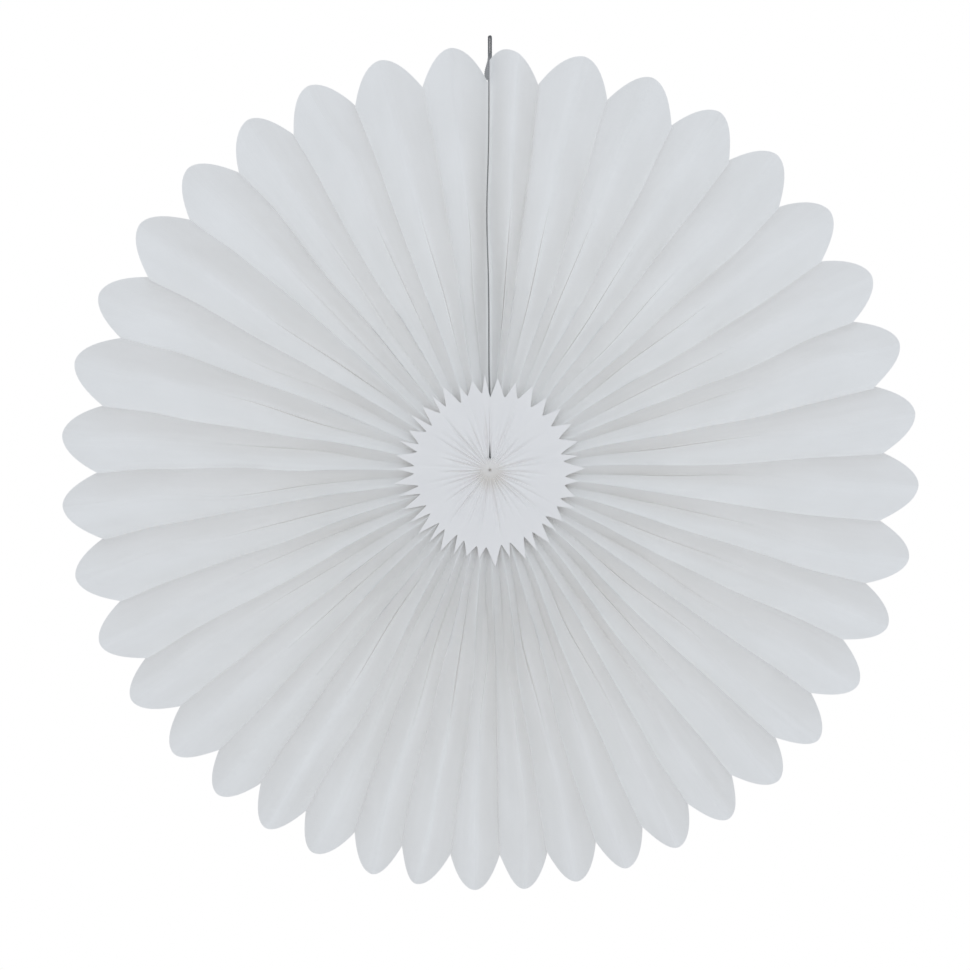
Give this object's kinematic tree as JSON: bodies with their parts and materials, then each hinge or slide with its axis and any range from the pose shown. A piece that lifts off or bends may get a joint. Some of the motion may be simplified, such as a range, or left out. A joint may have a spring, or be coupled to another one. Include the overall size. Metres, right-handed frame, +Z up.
{
  "type": "paper fan rosette",
  "caption": "Hanging white tissue-paper rosette: a pleated fan with round petal ends opened to a full circle, a small pointed fan on its middle and a thread with a hanging loop.",
  "frame": {"origin": "top of the hanging loop, on the thread's centre line, where the hook bears", "axes": "+Z up, the rosette hangs below the origin with its face upright; the front looks towards -Y and +X is to the viewer's right"},
  "size_m": [0.449, 0.0228, 0.4548],
  "materials": {
    "petal_paper": "matte white tissue paper",
    "centre_paper": "matte white tissue paper",
    "thread": "grey twisted cotton thread",
    "tape": "white double-sided tape"
  },
  "bodies": {
    "root": {"petal_fan": "petal_paper", "centre_fan": "centre_paper", "hanging_thread": "thread", "closing_tape": "tape"}
  },
  "joints": []
}
